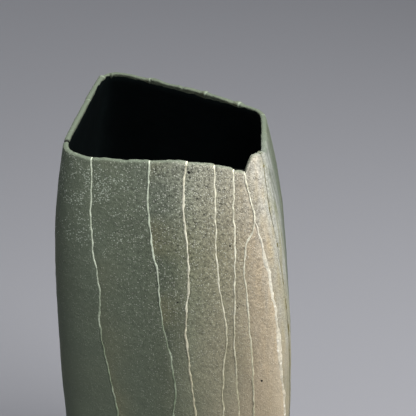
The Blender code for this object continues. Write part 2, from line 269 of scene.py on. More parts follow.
def unevenness(points, kinds, own=0):
    """Sum of some kinds of unevenness over points; own gives each piece its own."""
    return sum(kind.amount * lumps(points, kind.size, kind.seed + own) for kind in kinds)


def unevenness_along(z, kinds, own=0):
    """Sum of some kinds of unevenness along one upright line."""
    return unevenness(np.stack([np.asarray(z, float), 0 * z], axis=-1), kinds, own)


def fading(distance, reach):
    """1 at no distance, and fading away over the reach on both sides."""
    return np.exp(-((distance / reach) ** 2))


def rising(z, low, high):
    """Share of the way up from low to high, from 0 to 1."""
    return np.clip((z - low) / (high - low), 0, 1)


# ---------------------------------------------------------------- joints

STRIP_TUCK = 0.00028  # strips reach this near to a joint's middle, under its slip
CRACK_OPENING = 0.00045
CRACK_DEPTH = 0.0060
CRACK_WIDEST, CRACK_POWER = 1.6, 1.5  # how it widens from its bottom, in shares of its depth
WOBBLE = (Lumpy(0.34, 0.0070, 40), Lumpy(0.24, 0.0034, 80), Lumpy(0.16, 0.0021, 120))  # millimetres
THINNEST = 0.00005  # of the gore at its point


def joint_middle(index, z):
    """Angle of the middle of a joint at a height."""
    middle = np.radians(smooth_between(JOINTS[index].path, z / HEIGHT))
    wander = WANDER * np.sin(math.tau * (z / WANDER_PITCH + WANDER_STAGGER * index))
    wobble = unevenness_along(z, WOBBLE, index) * MM
    middle = middle + (wander + wobble) / girth_rate(middle, z)
    if index == GORE_RIGHT_JOINT:
        middle = np.maximum(middle, joint_middle(CORNER_JOINT, z))
    return middle


def crack_gap(index, z):
    """Half the gap between two strips: more where the front left joint has cracked open at the rim."""
    if index != CRACKED_JOINT:
        return STRIP_TUCK
    up_crack = np.clip((z - RIM_LOW) / CRACK_DEPTH + 1, 0, CRACK_WIDEST)
    return STRIP_TUCK + CRACK_OPENING * up_crack**CRACK_POWER


def strip_edges(index, z):
    """Angles of the two edges of the strip that follows a joint."""
    after = (index + 1) % len(JOINTS)
    low = joint_middle(index, z)
    if index == GORE_RIGHT_JOINT:
        low = np.where(z > FORK, joint_middle(CORNER_JOINT, z), low)
    high = joint_middle(after, z) + (math.tau if after == 0 else 0)
    low = low + crack_gap(index, z) / girth_rate(low, z)
    high = high - crack_gap(after, z) / girth_rate(high, z)
    return low, np.maximum(high, low + THINNEST / girth_rate(low, z))


# ---------------------------------------------------------------- wall bodies

LEVEL = 0.0011  # height between two rings of a wall's outer face
LEVELS_POWER = 0.96  # how the rings crowd towards the rim
INNER_EVERY = 4  # outer rings for each ring of the inner face
COLUMN = 0.00075  # girth between two columns of a wall
FINE_COLUMNS = 200  # for measuring girth
SHARP_EDGE = math.radians(50)
LIP_RISE = 0.0011  # height of the rounded lip above where it springs from the wall's two faces
LIP_FULLNESS = 0.8  # below 1 the lip is fuller than half a circle
LIP_TURNS = 9
STRIP_MEASURED_AT = 0.6 * HEIGHT

STRIP_BOW = (Lumpy(0.34, 0.030, 21),)  # each strip's own, in millimetres, as the next four
WALL_SWAY = (Lumpy(0.16, 0.012, 51),)
SURFACE = (Lumpy(0.060, 0.0042, 61), Lumpy(0.055, 0.0019, 62))
CRUMBLE = (Lumpy(0.22, 0.0070, 11), Lumpy(0.20, 0.0022, 12))
CHIPS = Lumpy(1.2, 0.0036, 13)
CHIPPED_ABOVE = 0.45  # only the strongest of the chips' lumps break the rim
FOOT_FADE = 0.010  # height over which the bow dies out above the base slab
EDGE_ROUNDING, EDGE_REACH = 0.13, 0.0010  # of a strip's face at its joints: millimetres, metres
LIP_MARKS, LIP_REACH = 3, 0.004  # how much rougher, and how far down, the inner face is at the lip
CORNER_DROP, CORNER_REACH = 0.30, 0.0007  # of the rim at a strip's corners: millimetres, metres
CRACK_DROPS = {CRACKED_JOINT: (0.7, 0.0014), LAST_JOINT: (0.5, 0.0010)}  # the same beside the crack

KNOB_REACH = 0.0026  # how far from a joint the rim shares its knob of slip
KNOB_FADE = 0.0020  # how far down the knob stands proud
KNOB_THICKENING, KNOB_RAISING = 0.55, 0.45  # shares of the knob that thicken and raise the rim
NUB_SHARE = 0.72  # place of a drip of slip along its strip, from the first corner to the last
NUB_DEPTH = 0.0014  # below the rim, inside
NUB_REACH = 0.0013
NUB_RISE = 1.6  # millimetres
NUB_OVER_LIP = 0.3  # how far it comes up over the lip

BEAD_COLUMNS = 9
BEAD_WIDTH = (Lumpy(0.30, 0.0055, 200), Lumpy(0.35, 0.0016, 230))  # shares of the width
BEAD_PRIDE = (Lumpy(0.7, 0.0030, 300), Lumpy(0.6, 0.0012, 330))  # shares of the pride
BEAD_SINK = 0.10  # of its edges, in millimetres
BEAD_KNOB_PRIDE, BEAD_KNOB_RISE, BEAD_KNOB_FLARE = 0.75, 0.4, 2.0
SLIP_SHY = 0.15  # slip below the lower of its two strips at the rim, in millimetres
GORE_SLIP_TAPER = 0.024  # depth below the fork where the slip beside the gore reaches its full width
GORE_SLIP_POINT = 0.25  # its width at the fork, as a share of the full width
FORK_LAP = 0.0006  # slip beside the gore above the fork
GORE_SHY = 0.0004  # gore below the fork


def column_shares(low, high, z, count):
    """Shares of the way from low to high that divide the girth evenly."""
    fine = np.linspace(low, high, FINE_COLUMNS)
    run = np.linalg.norm(np.diff(plan(fine, z), axis=0), axis=1)
    travelled = np.append(0, np.cumsum(run))
    even = np.interp(np.linspace(0, travelled[-1], count + 1), travelled, fine)
    return (even - low) / (high - low)


def solid(name, points, faces):
    """Object of points and faces, smooth but for its sharp edges."""
    mesh = bpy.data.meshes.new(name)
    mesh.from_pydata(points.reshape(-1, 3).tolist(), [], [[int(i) for i in face] for face in faces])
    mesh.shade_smooth()
    mesh.set_sharp_from_angle(angle=SHARP_EDGE)
    made = bpy.data.objects.new(name, mesh)
    bpy.context.scene.collection.objects.link(made)
    return made


def wall_body(name, edges, shares, rim, swell, inner_every=INNER_EVERY):
    """Closed body that stands between two edges: up the outer face, over the lip, down the inner.

    edges gives the two edge angles at heights, rim the lip's height at each column, and swell how
    far each point stands proud, from (points, depths below the rim, shares, turn over the lip).
    Gives the object, and its points' places, depths below the rim, shares and angles.
    """
    foot = BASE_THICKNESS
    steps = math.ceil((rim.mean() - foot) / LEVEL / inner_every) * inner_every
    up = np.linspace(0, 1, steps + 1) ** LEVELS_POWER
    down = up[::inner_every][::-1]
    turns = np.linspace(0, math.pi, LIP_TURNS + 2)[1:-1]
    spring = rim - LIP_RISE

    z = [foot + (spring - foot) * t for t in up]
    z += [spring + LIP_RISE * math.sin(turn) ** LIP_FULLNESS for turn in turns]
    z += [foot + (spring - foot) * t for t in down]
    z = np.array(z)
    turn = np.concatenate([np.zeros(len(up)), turns, np.full(len(down), math.pi)])[:, None] + 0 * z
    low, high = edges(np.minimum(z, rim))
    angle = low + (high - low) * shares
    outward, _ = outward_at(angle, z)
    deep = thickness(angle, z)
    depth = deep * (1 - np.cos(turn)) / 2
    flat = plan(angle, z) - outward * depth[..., None] - CENTRE
    base = np.concatenate([flat, z[..., None]], axis=-1)
    proud = swell(base, rim - z, shares + 0 * z, turn)
    base[..., :2] += outward * (proud * np.cos(turn))[..., None]
    base[..., 2] += proud * np.sin(turn)

    rings, size = z.shape
    number = np.arange(rings * size).reshape(rings, size)
    a, b, c, d = number[:-1, :-1], number[:-1, 1:], number[1:, 1:], number[1:, :-1]
    faces = np.stack([a, b, c, d], axis=-1).reshape(-1, 4).tolist()
    first, last = number[0], number[-1]
    faces += [(first[u + 1], first[u], last[u], last[u + 1]) for u in range(size - 1)]
    for column, turned in ((number[:, 0], False), (number[:, -1], True)):
        sides = [list(column[steps : rings - len(down) + 1])]
        for j in range(len(down) - 1):
            lower = steps - inner_every * (j + 1)
            inner = rings - len(down) + j
            sides.append([*column[lower : lower + inner_every + 1], column[inner], column[inner + 1]])
        faces += [side[::-1] if turned else side for side in sides]
    return solid(name, base, faces), base, rim - z, shares + 0 * z, angle


def near_knobs(index, share, girth):
    """How much of the slip's knobs at its two joints a strip's rim shares, in millimetres."""
    before = JOINTS[index].knob * fading(share * girth, KNOB_REACH)
    after = JOINTS[(index + 1) % len(JOINTS)].knob * fading((1 - share) * girth, KNOB_REACH)
    return before + after


def rim_of_strip(index, angles, girth):
    """Height of a strip's lip over its angles: its lifts, crumbling, chips, and rounded corners."""
    points = plan(angles, HEIGHT)
    share = np.linspace(0, 1, len(angles))
    lifts = JOINTS[index].lifts
    lift = smooth_between(list(enumerate(lifts)), share * (len(lifts) - 1))
    chips = CHIPS.amount * np.clip(lumps(points, CHIPS.size, CHIPS.seed) - CHIPPED_ABOVE, 0, 1)
    drop = CORNER_DROP * fading(np.minimum(share, 1 - share) * girth, CORNER_REACH)
    if index in CRACK_DROPS:
        deep, reach = CRACK_DROPS[index]
        drop = drop + deep * fading(from_crack(index, share) * girth, reach)
    raised = KNOB_RAISING * near_knobs(index, share, girth)
    return rim_height(points) + (lift + unevenness(points, CRUMBLE) - chips - drop + raised) * MM


def from_crack(index, share):
    """Share of a strip's girth that lies between a point and the crack beside the strip."""
    return share if index == CRACKED_JOINT else 1 - share


def bow(points, index):
    """Slow bow of a strip and of the whole wall, dying out at the foot, in millimetres."""
    slow = unevenness(points, STRIP_BOW, index) + unevenness(points, WALL_SWAY)
    return slow * rising(points[..., 2], BASE_THICKNESS, BASE_THICKNESS + FOOT_FADE)


def strip_swell(index, girth):
    """Function for how far each point of a strip stands proud of its curve, in metres."""

    def swell(points, below, share, turn):
        outer = np.clip(np.cos(turn), 0, 1)
        inner = np.clip(-np.cos(turn), 0, 1)
        fine = unevenness(points, SURFACE)
        rounded = EDGE_ROUNDING * fading(np.minimum(share, 1 - share) * girth, EDGE_REACH)
        near_lip = np.exp(-np.abs(below) / LIP_REACH)
        thick = KNOB_THICKENING * near_knobs(index, share, girth) * fading(below, KNOB_REACH)
        if index == NUB_STRIP:
            across = fading((share - NUB_SHARE) * girth, NUB_REACH)
            down = fading(below - NUB_DEPTH, NUB_REACH)
            thick = thick + NUB_RISE * across * down * np.clip(NUB_OVER_LIP - np.cos(turn), 0, 1)
        face = outer * (bow(points, index) + fine) + (1 - inner) * (fine * near_lip - rounded)
        return (face + thick + LIP_MARKS * inner * near_lip * fine) * MM

    return swell


def bead_swell(index):
    """Function for how far each point of a line of slip stands proud of its curve, in metres."""
    joint = JOINTS[index]

    def swell(points, below, share, turn):
        round_top = np.sqrt(np.clip(1 - (2 * share - 1) ** 2, 0, 1))
        pride = joint.pride * (1 + unevenness_along(points[..., 2], BEAD_PRIDE, index))
        knob = BEAD_KNOB_PRIDE * joint.knob * fading(below, KNOB_FADE)
        inner = np.clip(-np.cos(turn), 0, 1)
        over_wall = bow(points, index) * (1 - inner)
        return ((pride + BEAD_SINK + knob) * round_top - BEAD_SINK + over_wall) * MM

    return swell


# ---------------------------------------------------------------- masks on the strips

# A window round the vase: the angle of its middle and its reach to either side, in degrees.
Window = namedtuple("Window", "angle reach")
FROSTED = Window(-130, 24)  # dry frosting under the rim
GRAINY = Window(-74, 40)
STREAKED = Window(-27, 17)  # chalky streaks beyond the gore
CHALKY = Window(-62, 34)
FROST_HEIGHT, FROST_REACH = 0.264, 0.020
SANDIEST = -40  # degrees
SANDY_LEFT, SANDY_RIGHT, SANDY_RIGHT_LOST = 66, 46, 30  # reach of the sand, and what the right loses
SANDY_LEFT_POWER, SANDY_RIGHT_POWER = 1.25, 1.1  # how fast it goes
SANDY_RIGHT_GOES = (0.17, 0.26)  # heights between which the right loses it
UPPER_WALL = (0.15, 0.27)  # heights between which the marks of the fire grow stronger
CHALKY_WALL = (0.232, 0.277)
THIN_SLIP = (0.165, 0.225)  # heights between which the slip thickens
LIP_WEAR = 0.0010  # depth of the worn lip
STAIN_REACH = 0.0055  # beside the joint on a strip's left
CRACK_SHADE_WIDTH = 0.0004  # width of the painted shade on the walls of the crack

BLUSH_LUMPS = (Lumpy(0.06, 0.016, 71),)
STAIN_LUMPS = (Lumpy(1.1, 0.020, 72),)
FROST_LUMPS = (Lumpy(1.20, 0.0100, 73), Lumpy(0.96, 0.0040, 75))
STREAK_LUMPS = (Lumpy(0.9, 0.0017, 74),)
STREAK_STRETCH = np.array([1, 1, 0.10])
THIN_LUMPS = (Lumpy(0.45, 0.0060, 76),)


def turned_from(angle, degrees):
    """Degrees round from one direction to another, from -180 to 180."""
    return np.degrees(np.angle(np.exp(1j * (angle - math.radians(degrees)))))


def inside(window, angle):
    """How far an angle is inside a window: 1 at its middle, fading away over its reach."""
    return fading(turned_from(angle, window.angle), window.reach)


def blush_at(angle, z):
    """Share of sandy colour in the clay: most at the front right corner."""
    turned = turned_from(angle, SANDIEST)
    left = np.clip(1 - np.clip(-turned, 0, None) / SANDY_LEFT, 0, 1) ** SANDY_LEFT_POWER
    right_reach = SANDY_RIGHT - SANDY_RIGHT_LOST * rising(z, *SANDY_RIGHT_GOES)
    right = np.clip(1 - np.clip(turned, 0, None) / right_reach, 0, 1) ** SANDY_RIGHT_POWER
    return np.where(turned < 0, left, right)


def paint(made, name, values):
    """A mask kept with the mesh, one value for each point, which its material reads by name."""
    layer = made.data.attributes.new(name, "FLOAT", "POINT")
    layer.data.foreach_set("value", np.clip(values, 0, 1).astype(np.float32).ravel())


def paint_strip(made, index, points, below, share, angle, girth):
    """Masks of a strip: its sandy blush, worn lip, stains, frosting, grain, painted shade in the crack and
    streaks.
    """
    z = points[..., 2]
    upper = rising(z, *UPPER_WALL)
    blush = blush_at(angle, z) + JOINTS[index].tone + unevenness(points, BLUSH_LUMPS)
    stain = np.exp(-share * girth / STAIN_REACH) * np.clip(0.35 + unevenness(points, STAIN_LUMPS), 0, 1)
    frost = inside(FROSTED, angle) * fading(z - FROST_HEIGHT, FROST_REACH)
    grainy = inside(GRAINY, angle) * (0.26 + 0.74 * upper)
    long_lumps = unevenness(points * STREAK_STRETCH, STREAK_LUMPS)
    streaked = inside(STREAKED, angle) * (0.2 + 1.0 * upper)
    chalky = 0.45 * rising(z, *CHALKY_WALL) * inside(CHALKY, angle)
    # Painted shade: the walls of the crack at the front left are darkened, most near the rim.
    crack = 0 * z
    if index in CRACK_DROPS:
        crack = fading(from_crack(index, share) * girth, CRACK_SHADE_WIDTH)
    paint(made, "blush", 0.1 + 0.9 * blush)
    paint(made, "lip", np.clip(1 - below / LIP_WEAR, 0, 1) * (index != CORNER_JOINT))
    paint(made, "stain", stain)
    paint(made, "frost", frost * np.clip(0.42 + unevenness(points, FROST_LUMPS), 0, 1))
    paint(made, "coarse", 0.03 + 0.13 * upper + 0.84 * grainy)
    paint(made, "crack", crack * np.clip(1.3 - below / CRACK_DEPTH, 0, 1))
    paint(made, "streak", streaked * (0.62 + long_lumps) + chalky)


# ---------------------------------------------------------------- strips of clay and lines of slip


def make_strip(index):
    """The strip that follows a joint, and the name of the CAD node it stands for."""
    joint = JOINTS[index]
    low, high = (float(edge) for edge in strip_edges(index, np.array(STRIP_MEASURED_AT)))
    across = plan(np.linspace(low, high, FINE_COLUMNS), STRIP_MEASURED_AT)
    girth = np.linalg.norm(np.diff(across, axis=0), axis=1).sum()
    columns = round(girth / COLUMN)
    shares = column_shares(low, high, STRIP_MEASURED_AT, columns)
    if index == CORNER_JOINT:
        rim = np.full(columns + 1, FORK - GORE_SHY)
    else:
        low, high = strip_edges(index, np.full(columns + 1, RIM_LOW))
        rim = rim_of_strip(index, low + (high - low) * shares, girth)
    made, points, below, share, angle = wall_body(
        "strip_" + joint.strip,
        lambda z: strip_edges(index, z),
        shares,
        rim,
        strip_swell(index, girth),
        inner_every=1 if index == NUB_STRIP else INNER_EVERY,
    )
    paint_strip(made, index, points, below, share, angle, girth)
    return made, "corner_gore" if index == CORNER_JOINT else "wall_" + joint.strip


def make_bead(index):
    """The line of slip in a joint, and the name of the CAD node it stands for."""
    joint = JOINTS[index]
    rim_mid = rim_height(plan(joint_middle(index, np.array(RIM_LOW)), HEIGHT))

    def edges(z):
        middle = joint_middle(index, z)
        near_rim = fading(rim_mid - z, KNOB_REACH)
        flare = (1 - near_rim) * (1 + unevenness_along(z, BEAD_WIDTH, index))
        flare = flare + near_rim * (1 + BEAD_KNOB_FLARE * joint.knob)
        if index == GORE_RIGHT_JOINT:
            flare = flare * np.clip((FORK - z) / GORE_SLIP_TAPER, GORE_SLIP_POINT, 1)
        wide = joint.half_width * MM * flare / girth_rate(middle, z)
        return middle - wide, middle + wide

    shares = (1 - np.cos(np.linspace(0, math.pi, BEAD_COLUMNS))) / 2
    if index == GORE_RIGHT_JOINT:
        rim = np.full(BEAD_COLUMNS, FORK + FORK_LAP)
    else:
        low, high = edges(np.full(BEAD_COLUMNS, RIM_LOW))
        angles = low + (high - low) * shares
        strip_after = GORE_RIGHT_JOINT if index == CORNER_JOINT else index
        lift = min(JOINTS[index - 1].lifts[-1], JOINTS[strip_after].lifts[0])
        rise = lift + BEAD_KNOB_RISE * joint.knob - SLIP_SHY
        rim = rim_height(plan(angles, HEIGHT)) + rise * MM
        if index == CRACKED_JOINT:
            rim = rim - CRACK_DEPTH
    made, points, *_ = wall_body(
        "slip_line_" + joint.name, edges, shares, rim, bead_swell(index), inner_every=1
    )
    thin = 1 - rising(points[..., 2], *THIN_SLIP)
    paint(made, "thin", thin + unevenness(points, THIN_LUMPS))
    return made, "slip_" + joint.name


# ---------------------------------------------------------------- base, coil and glaze

# Edge of the base slab: how far inside the plan, and how high.
BASE_SECTION = (
    (0.004, 0.0), (0.0014, 0.0), (0.0006, 0.0002), (0.0002, 0.0007), (0.0, 0.0016), (0.0, 0.0044),
    (0.0002, BASE_THICKNESS - 0.0003), (0.0008, BASE_THICKNESS),
)
BASE_SURFACE = (Lumpy(0.12, 0.006, 91), Lumpy(0.25, 0.025, 92))  # millimetres
BASE_COLUMNS, COIL_COLUMNS, GLAZE_COLUMNS = 420, 300, 560
COIL_STEPS = 8
GLAZE_SINK = 0.0001  # outer face of the glaze into the clay
GLAZE_PROUD = 0.0006  # inner face of the glaze off the clay
GLAZE_FLOOR_STEP = 0.002
GLAZE_ABOVE_COIL = 0.004
GLAZE_LEVELS = 90
GLAZE_LAST_LEVELS = (0.985, 0.995, 1)
GLAZE_BELOW_RIM = 1.7  # millimetres
GLAZE_EDGE = (Lumpy(0.5, 0.009, 95), Lumpy(0.3, 0.003, 96))  # millimetres
GLAZE_EDGE_SHARE = 1 / 120  # of its height, over which the glaze thins out at the top


def ring_body(name, rings, closing):
    """Closed body of rings that go right round: caps where closing is "flat", else joined up."""
    rings = np.array(rings)
    count, size, _ = rings.shape
    number = np.arange(count * size).reshape(count, size)
    pairs = [(k, k + 1) for k in range(count - 1)] + ([(count - 1, 0)] if closing == "round" else [])
    faces = []
    for k, m in pairs:
        for u in range(size):
            v = (u + 1) % size
            faces.append((number[k, u], number[k, v], number[m, v], number[m, u]))
    if closing == "flat":
        faces += [tuple(number[0][::-1]), tuple(number[-1])]
    return solid(name, rings, faces)


def placed(flat, z):
    """Points of the plan at a height, measured from the middle of the CAD box."""
    heights = np.broadcast_to(z, flat.shape[:-1])
    return np.concatenate([flat - CENTRE, heights[..., None]], axis=-1)


def inside_plan(angle, z, depth):
    """Point of the plan, moved straight in from the outer face."""
    outward, _ = outward_at(angle, z)
    return plan(angle, z) - outward * np.expand_dims(depth, -1)


def round_angles(count):
    """Angles right round the vase that divide its girth evenly."""
    shares = column_shares(-math.pi, math.pi, HEIGHT / 2, count)
    return (-math.pi + math.tau * shares)[:-1]


def make_base():
    """The base slab, its lower edge softened by hand."""
    angles = round_angles(BASE_COLUMNS)
    rings = []
    for depth, z in BASE_SECTION:
        points = placed(inside_plan(angles, z, np.full(len(angles), depth)), z)
        if z > 0:
            outward, _ = outward_at(angles, z)
            points[:, :2] += outward * unevenness(points, BASE_SURFACE)[:, None] * MM
        rings.append(points)
    return ring_body("foot_slab", rings, "flat"), "base_slab"


def hollow_curve(extra):
    """Hollow curve of the coil, as depths inside the plan and heights, from the floor up the wall."""
    centre_depth = SLAB_THICKNESS + CLEARANCE + COIL_EDGE + COIL_RADIUS
    centre_height = BASE_THICKNESS + CLEARANCE + COIL_EDGE + COIL_RADIUS
    radius = COIL_RADIUS - extra
    turns = np.linspace(math.pi / 2, 0, COIL_STEPS + 1)
    return [(centre_depth - radius * math.cos(t), centre_height - radius * math.sin(t)) for t in turns]


def floor_point(angle, z, depth):
    """Point near the foot, drawn from the wall's inner face towards the axis."""
    reach = min(side.foot for side in SIDES) - SLAB_THICKNESS
    wall = inside_plan(angle, z, np.full(np.shape(angle), SLAB_THICKNESS))
    return placed(wall * (1 - (depth - SLAB_THICKNESS) / reach), z)


def make_coil():
    """The coil of clay in the angle of wall and floor."""
    curve = hollow_curve(0)
    against_wall = SLAB_THICKNESS + CLEARANCE
    on_floor = BASE_THICKNESS + CLEARANCE
    section = [(against_wall, on_floor), (curve[0][0], on_floor), *curve, (against_wall, curve[-1][1])]
    angles = round_angles(COIL_COLUMNS)
    rings = [floor_point(angles, z, depth) for depth, z in section]
    return ring_body("inside_coil", rings[::-1], "round"), "floor_coil"


def glaze_face(extra, angles, top_line):
    """One face of the glaze, so far off the clay, as rings from the floor to its top line."""
    curve = hollow_curve(extra)
    rings = [floor_point(angles, BASE_THICKNESS + extra, curve[0][0] + GLAZE_FLOOR_STEP)]
    rings += [floor_point(angles, z, depth) for depth, z in curve]
    start = curve[-1][1] + GLAZE_ABOVE_COIL
    for t in (*np.linspace(0, 0.97, GLAZE_LEVELS), *GLAZE_LAST_LEVELS):
        z = start + (top_line - start) * t
        thin = np.clip((1 - t) / GLAZE_EDGE_SHARE, 0, 1) ** 0.5
        deep = thickness(angles, z) + min(extra, -GLAZE_SINK) + (extra + GLAZE_SINK) * thin
        rings.append(placed(inside_plan(angles, z, deep), z))
    return rings


def make_glaze():
    """The glaze inside, from the floor to its uneven top line."""
    angles = round_angles(GLAZE_COLUMNS)
    points = plan(angles, HEIGHT)
    top_line = rim_height(points) - (GLAZE_BELOW_RIM + unevenness(points, GLAZE_EDGE)) * MM
    outer = glaze_face(-GLAZE_SINK, angles, top_line)
    inner = glaze_face(GLAZE_PROUD, angles, top_line)
    return ring_body("inside_glaze", outer + inner[::-1], "flat"), "glaze_liner"


# ---------------------------------------------------------------- materials


def srgb(*channels):
    """Colour for a shader from display values of 0 to 255."""
    shares = [channel / 255 for channel in channels]
    return tuple(c / 12.92 if c <= 0.04045 else ((c + 0.055) / 1.055) ** 2.4 for c in shares) + (1,)


STAIN = srgb(128, 122, 90)
CHALK = srgb(162, 164, 160)
FROST = srgb(180, 190, 176)
PALE_GRIT = srgb(226, 228, 216)
DARK_GRIT = srgb(38, 38, 32)
BURNT = srgb(10, 9, 8)
WORN = srgb(94, 104, 90)
# Painted shade on the walls of the open crack.
CRACK_SHADE_COLOUR = srgb(14, 16, 14)
GLAZE = srgb(9, 14, 15)
PALE_FLOOR = srgb(142, 143, 149)

# Pits burnt into the face: angle, height and radius.
PITS = (
    (-74.8, 0.2745, 0.0009),
    (-54.5, 0.2380, 0.0006),
    (-52.2, 0.2050, 0.0005),
    (-43.8, 0.1640, 0.0007),
    (-30.0, 0.1400, 0.0005),
    (-82.0, 0.2060, 0.0006),
    (-178.0, 0.1400, 0.0006),
    (-20.0, 0.1100, 0.0006),
    (28.0, 0.1900, 0.0009),
    (70.0, 0.1300, 0.0006),
    (95.0, 0.2200, 0.0009),
    (150.0, 0.1700, 0.0006),
    (-170.0, 0.2300, 0.0005),
)

# Colours of the clay, by its share of sandy blush.
CLAYS = (
    (0.0, srgb(88, 97, 83)),
    (0.25, srgb(90, 97, 81)),
    (0.5, srgb(126, 129, 108)),
    (0.75, srgb(151, 146, 123)),
    (1.0, srgb(182, 167, 141)),
)


class Wires:
    """Short ways to add nodes to a tree and wire them up."""

    def __init__(self, tree):
        self.tree = tree

    def add(self, kind, inputs=None, **settings):
        node = self.tree.nodes.new(kind)
        for key, value in settings.items():
            setattr(node, key, value)
        for key, value in (inputs or {}).items():
            self.put(node.inputs[key], value)
        return node

    def put(self, socket, value):
        if isinstance(value, bpy.types.NodeSocket):
            self.tree.links.new(value, socket)
        else:
            socket.default_value = value

    def math(self, operation, first, second):
        return self.add("ShaderNodeMath", {0: first, 1: second}, operation=operation).outputs[0]

    def mix(self, share, first, second):
        """Colour between two colours, by a share."""
        node = self.add("ShaderNodeMix", data_type="RGBA")
        for place, value in ((0, share), (6, first), (7, second)):
            self.put(node.inputs[place], value)
        return node.outputs[2]

    def place(self):
        return self.add("ShaderNodeTexCoord").outputs["Object"]

    def mask(self, name, strength=1.0):
        """A mask kept with the mesh, times a strength."""
        share = self.add("ShaderNodeAttribute", attribute_name=name).outputs["Fac"]
        return self.math("MULTIPLY", share, strength)

    def group(self, tree, inputs):
        node = self.add("ShaderNodeGroup", node_tree=tree)
        for key, value in inputs.items():
            self.put(node.inputs[key], value)
        return node

    def bump(self, shader, height, strength, distance):
        node = self.add("ShaderNodeBump", {"Height": height, "Strength": strength, "Distance": distance})
        self.put(shader.inputs["Normal"], node.outputs["Normal"])


def group_tree(name, inputs, outputs):
    """Empty node group with its inputs and outputs, each a label and a kind."""
    tree = bpy.data.node_groups.new(name, "ShaderNodeTree")
    kinds = {"colour": "NodeSocketColor", "value": "NodeSocketFloat"}
    for label, kind in inputs:
        tree.interface.new_socket(label, in_out="INPUT", socket_type=kinds[kind])
    for label, kind in outputs:
        tree.interface.new_socket(label, in_out="OUTPUT", socket_type=kinds[kind])
    given, out = tree.nodes.new("NodeGroupInput"), tree.nodes.new("NodeGroupOutput")
    return tree, given.outputs, out.inputs, Wires(tree)


def fired_grain_group():
    """Fine mottling of a sandy clay: lighter and darker grains, and the same as height."""
    tree, given, out, w = group_tree(
        "fired_grain",
        [("Colour", "colour"), ("Grain Size", "value"), ("Contrast", "value")],
        [("Colour", "colour"), ("Height", "value")],
    )
    place = w.place()
    fine_scale = w.math("DIVIDE", 1.0, given["Grain Size"])
    broad_scale = w.math("MULTIPLY", fine_scale, 0.35)
    fine = w.add(
        "ShaderNodeTexNoise", {"Vector": place, "Scale": fine_scale, "Detail": 3.0, "Roughness": 0.65}
    )
    broad = w.add(
        "ShaderNodeTexNoise", {"Vector": place, "Scale": broad_scale, "Detail": 2.0, "Roughness": 0.6}
    )
    both = w.math("ADD", fine.outputs["Fac"], broad.outputs["Fac"])
    uneven = w.math("MULTIPLY", w.math("SUBTRACT", both, 1.0), given["Contrast"])
    shade = w.add("ShaderNodeVectorMath", {0: given["Colour"]}, operation="SCALE")
    w.put(shade.inputs["Scale"], w.math("ADD", uneven, 1.0))
    w.put(out["Colour"], shade.outputs[0])
    w.put(out["Height"], both)
    return tree


def specks_group():
    """Scattered specks: each cell that is picked holds one grain, mixed over the colour."""
    tree, given, out, w = group_tree(
        "scattered_specks",
        [("Colour", "colour"), ("Speck Colour", "colour"), ("Spacing", "value"), ("Size", "value"),
         ("Share", "value"), ("Cover", "value")],
        [("Colour", "colour"), ("Mask", "value")],
    )
    scale = w.math("DIVIDE", 1.0, given["Spacing"])
    cells = w.add("ShaderNodeTexVoronoi", {"Vector": w.place(), "Scale": scale})
    near = w.add(
        "ShaderNodeMapRange",
        {"Value": cells.outputs["Distance"], "From Min": given["Size"],
         "From Max": w.math("MULTIPLY", given["Size"], 0.55)},
    )
    pick = w.add("ShaderNodeSeparateColor", {"Color": cells.outputs["Color"]})
    chosen = w.math("LESS_THAN", pick.outputs[0], given["Share"])
    mask = w.math("MULTIPLY", near.outputs[0], chosen)
    cover = w.math("MULTIPLY", mask, given["Cover"])
    w.put(out["Colour"], w.mix(cover, given["Colour"], given["Speck Colour"]))
    w.put(out["Mask"], mask)
    return tree


def burnt_pits_group():
    """The few dark pits where a grain burnt out in firing."""
    tree, given, out, w = group_tree(
        "burnt_pits",
        [("Colour", "colour"), ("Pit Colour", "colour")],
        [("Colour", "colour"), ("Mask", "value")],
    )
    place = w.place()
    mask = 0.0
    for degrees, z, radius in PITS:
        x, y = plan(math.radians(degrees), z) - CENTRE
        away = w.add("ShaderNodeVectorMath", {0: place, 1: (x, y, z)}, operation="DISTANCE")
        near = w.add(
            "ShaderNodeMapRange",
            {"Value": away.outputs["Value"], "From Min": radius, "From Max": 0.6 * radius},
        )
        mask = w.math("MAXIMUM", near.outputs[0], mask)
    w.put(out["Colour"], w.mix(mask, given["Colour"], given["Pit Colour"]))
    w.put(out["Mask"], mask)
    return tree


def new_material(name, roughness):
    made = bpy.data.materials.new(name)
    made.use_nodes = True
    shader = made.node_tree.nodes["Principled BSDF"]
    shader.inputs["Roughness"].default_value = roughness
    return made, shader, Wires(made.node_tree)


def grains_in(w, colour, size, contrast):
    """Colour with grain, and the grain's height."""
    node = w.group(grain_tree, {"Colour": colour, "Grain Size": size, "Contrast": contrast})
    return node.outputs["Colour"], node.outputs["Height"]


def specks_in(w, colour, speck, spacing, size, share, cover):
    """Colour with specks, and the specks' mask."""
    node = w.group(speck_tree, {
        "Colour": colour, "Speck Colour": speck, "Spacing": spacing,
        "Size": size, "Share": share, "Cover": cover})
    return node.outputs["Colour"], node.outputs["Mask"]


